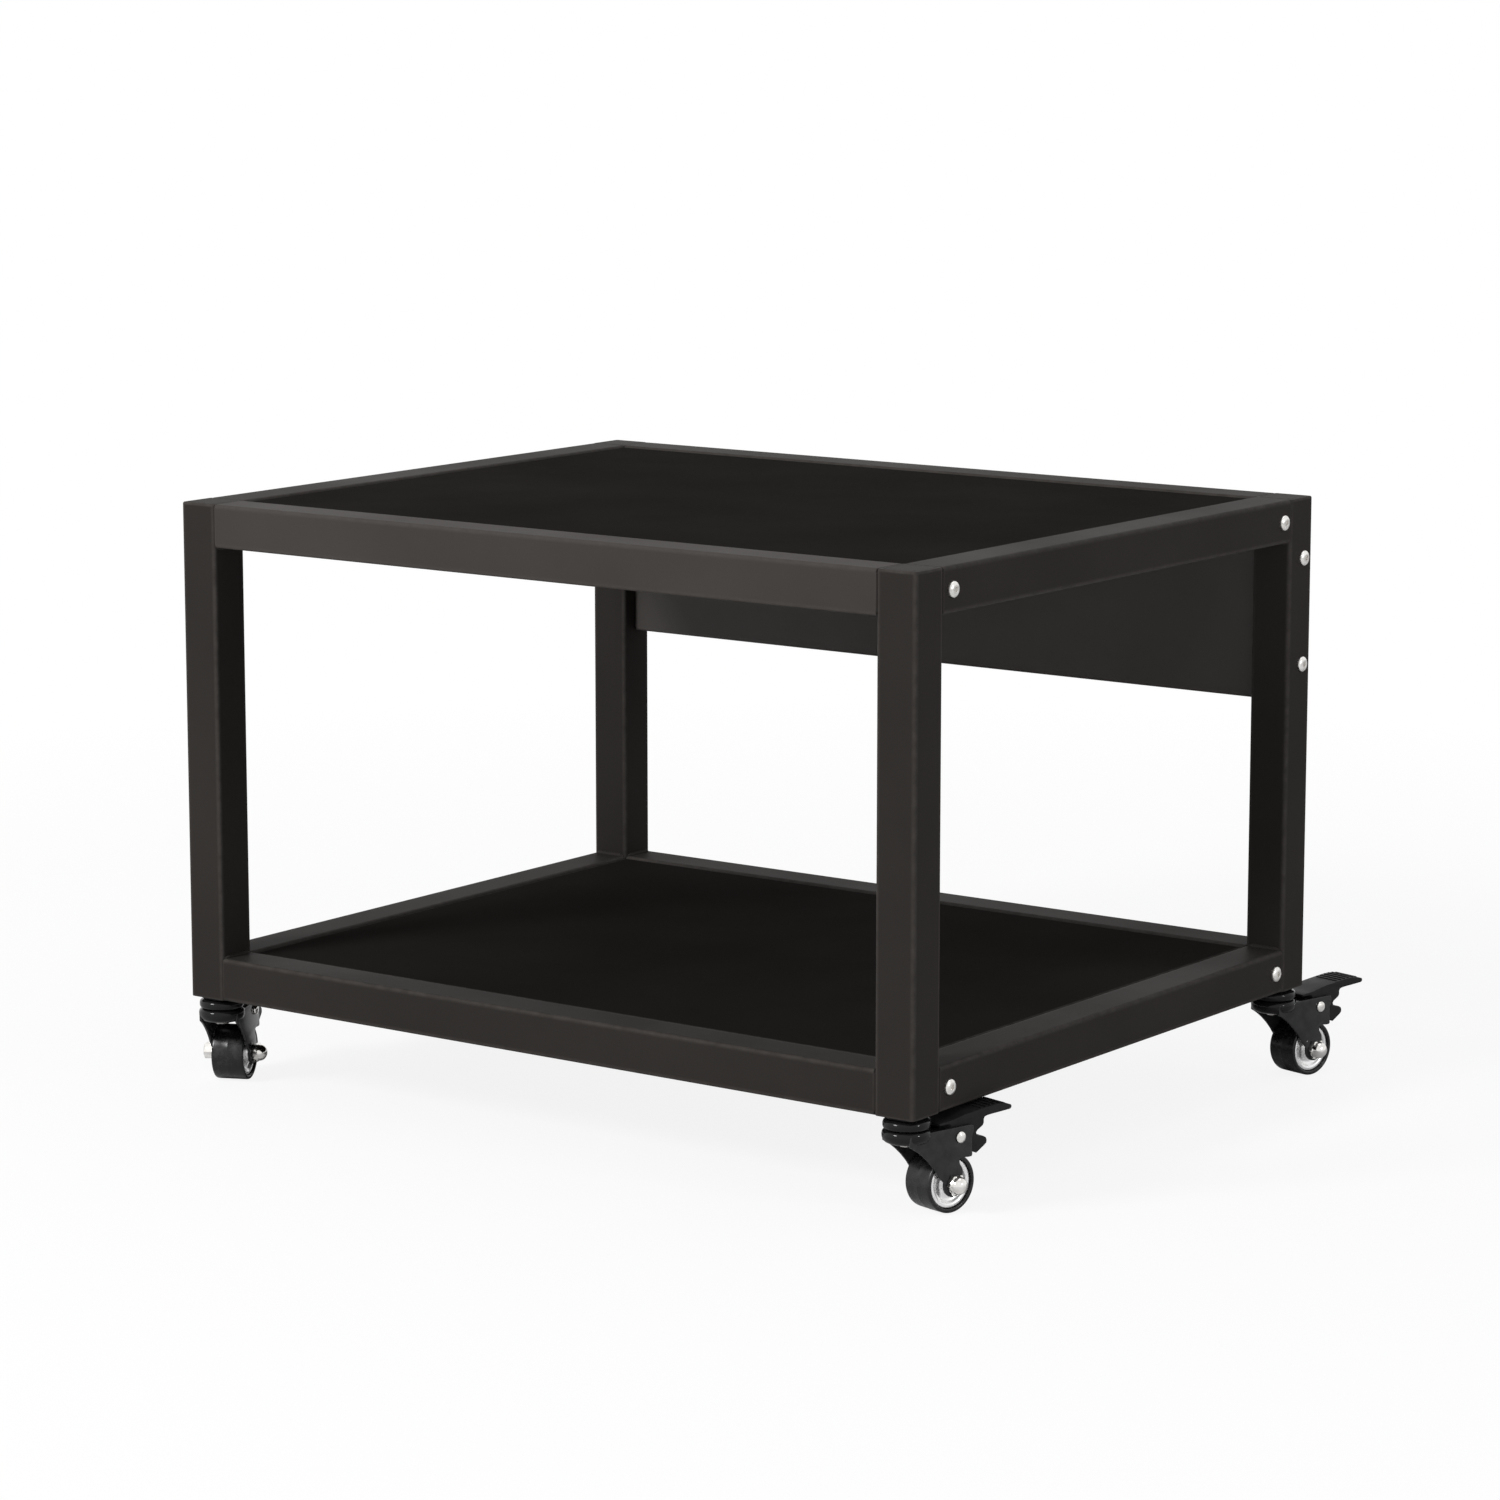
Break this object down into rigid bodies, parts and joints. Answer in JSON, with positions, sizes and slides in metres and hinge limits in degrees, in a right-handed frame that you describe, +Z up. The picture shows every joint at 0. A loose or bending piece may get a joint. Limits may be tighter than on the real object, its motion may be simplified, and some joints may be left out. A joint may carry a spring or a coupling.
{
  "type": "audio equipment rack",
  "caption": "Low open steel rack with an upper and a lower deck, a short back panel and braked swivel casters, for carrying audio equipment.",
  "frame": {"origin": "on the floor at the centre of the footprint, brake pedals included", "axes": "+Z up, +X to the right along the width as seen from the front, -Y to the front"},
  "size_m": [0.59, 0.4982, 0.373],
  "materials": {
    "frame_steel": "satin black powder coat",
    "caster_steel": "gloss black coat on pressed steel",
    "black_plastic": "moulded black nylon, satin",
    "tyre": "smooth black polyurethane",
    "nickel_fastener": "bright nickel plate",
    "hub_silver": "bright silver coat"
  },
  "bodies": {
    "frame": {"front_left_post": "frame_steel", "front_left_foot_insert": "black_plastic", "rear_left_post": "frame_steel", "rear_left_foot_insert": "black_plastic", "front_right_post": "frame_steel", "front_right_foot_insert": "black_plastic", "rear_right_post": "frame_steel", "rear_right_foot_insert": "black_plastic", "lower_left_rail": "frame_steel", "lower_right_rail": "frame_steel", "lower_front_rail": "frame_steel", "lower_rear_rail": "frame_steel", "lower_deck": "frame_steel", "lower_front_left_deck_screw": "nickel_fastener", "lower_rear_left_deck_screw": "nickel_fastener", "lower_front_right_deck_screw": "nickel_fastener", "lower_rear_right_deck_screw": "nickel_fastener", "upper_left_rail": "frame_steel", "upper_right_rail": "frame_steel", "upper_front_rail": "frame_steel", "upper_rear_rail": "frame_steel", "upper_deck": "frame_steel", "upper_front_left_deck_screw": "nickel_fastener", "upper_rear_left_deck_screw": "nickel_fastener", "upper_front_right_deck_screw": "nickel_fastener", "upper_rear_right_deck_screw": "nickel_fastener", "back_panel": "frame_steel", "lower_left_panel_screw": "nickel_fastener", "upper_left_panel_screw": "nickel_fastener", "lower_right_panel_screw": "nickel_fastener", "upper_right_panel_screw": "nickel_fastener", "front_left_swivel_stem": "caster_steel", "front_right_swivel_stem": "caster_steel", "rear_left_swivel_stem": "caster_steel", "rear_right_swivel_stem": "caster_steel"},
    "front_left_swivel": {"front_left_fork": "caster_steel", "front_left_axle_bolt": "nickel_fastener", "front_left_brake_pin": "nickel_fastener"},
    "front_left_wheel": {"front_left_wheel_hub": "hub_silver", "front_left_tyre": "tyre"},
    "front_left_pedal": {"front_left_brake_pedal": "black_plastic"},
    "front_right_swivel": {"front_right_fork": "caster_steel", "front_right_axle_bolt": "nickel_fastener", "front_right_brake_pin": "nickel_fastener"},
    "front_right_wheel": {"front_right_wheel_hub": "hub_silver", "front_right_tyre": "tyre"},
    "front_right_pedal": {"front_right_brake_pedal": "black_plastic"},
    "rear_left_swivel": {"rear_left_fork": "caster_steel", "rear_left_axle_bolt": "nickel_fastener", "rear_left_brake_pin": "nickel_fastener"},
    "rear_left_wheel": {"rear_left_wheel_hub": "hub_silver", "rear_left_tyre": "tyre"},
    "rear_left_pedal": {"rear_left_brake_pedal": "black_plastic"},
    "rear_right_swivel": {"rear_right_fork": "caster_steel", "rear_right_axle_bolt": "nickel_fastener", "rear_right_brake_pin": "nickel_fastener"},
    "rear_right_wheel": {"rear_right_wheel_hub": "hub_silver", "rear_right_tyre": "tyre"},
    "rear_right_pedal": {"rear_right_brake_pedal": "black_plastic"}
  },
  "joints": [
    {"name": "front_left_turn", "type": "hinge", "parent": "frame", "child": "front_left_swivel", "pos_m": [-0.25607, -0.23462, 0.048], "axis": [0, 0, 1], "continuous": true},
    {"name": "front_left_roll", "type": "hinge", "parent": "front_left_swivel", "child": "front_left_wheel", "pos_m": [-0.26664, -0.21196, 0.0175], "axis": [-0.9063, -0.4226, 0], "continuous": true},
    {"name": "front_left_brake", "type": "hinge", "parent": "front_left_swivel", "child": "front_left_pedal", "pos_m": [-0.26854, -0.20789, 0.0445], "axis": [-0.9063, -0.4226, 0], "range_deg": [0, 18]},
    {"name": "front_right_turn", "type": "hinge", "parent": "frame", "child": "front_right_swivel", "pos_m": [0.26693, -0.23462, 0.048], "axis": [0, 0, 1], "continuous": true},
    {"name": "front_right_roll", "type": "hinge", "parent": "front_right_swivel", "child": "front_right_wheel", "pos_m": [0.2734, -0.21047, 0.0175], "axis": [-0.9659, 0.2588, 0], "continuous": true},
    {"name": "front_right_brake", "type": "hinge", "parent": "front_right_swivel", "child": "front_right_pedal", "pos_m": [0.27456, -0.20613, 0.0445], "axis": [-0.9659, 0.2588, 0], "range_deg": [0, 18]},
    {"name": "rear_left_turn", "type": "hinge", "parent": "frame", "child": "rear_left_swivel", "pos_m": [-0.25607, 0.17838, 0.048], "axis": [0, 0, 1], "continuous": true},
    {"name": "rear_left_roll", "type": "hinge", "parent": "rear_left_swivel", "child": "rear_left_wheel", "pos_m": [-0.26042, 0.203, 0.0175], "axis": [-0.9848, -0.1736, 0], "continuous": true},
    {"name": "rear_left_brake", "type": "hinge", "parent": "rear_left_swivel", "child": "rear_left_pedal", "pos_m": [-0.2612, 0.20743, 0.0445], "axis": [-0.9848, -0.1736, 0], "range_deg": [0, 18]},
    {"name": "rear_right_turn", "type": "hinge", "parent": "frame", "child": "rear_right_swivel", "pos_m": [0.26693, 0.17838, 0.048], "axis": [0, 0, 1], "continuous": true},
    {"name": "rear_right_roll", "type": "hinge", "parent": "rear_right_swivel", "child": "rear_right_wheel", "pos_m": [0.27297, 0.20263, 0.0175], "axis": [-0.9703, 0.2419, 0], "continuous": true},
    {"name": "rear_right_brake", "type": "hinge", "parent": "rear_right_swivel", "child": "rear_right_pedal", "pos_m": [0.27406, 0.207, 0.0445], "axis": [-0.9703, 0.2419, 0], "range_deg": [0, 18]}
  ]
}
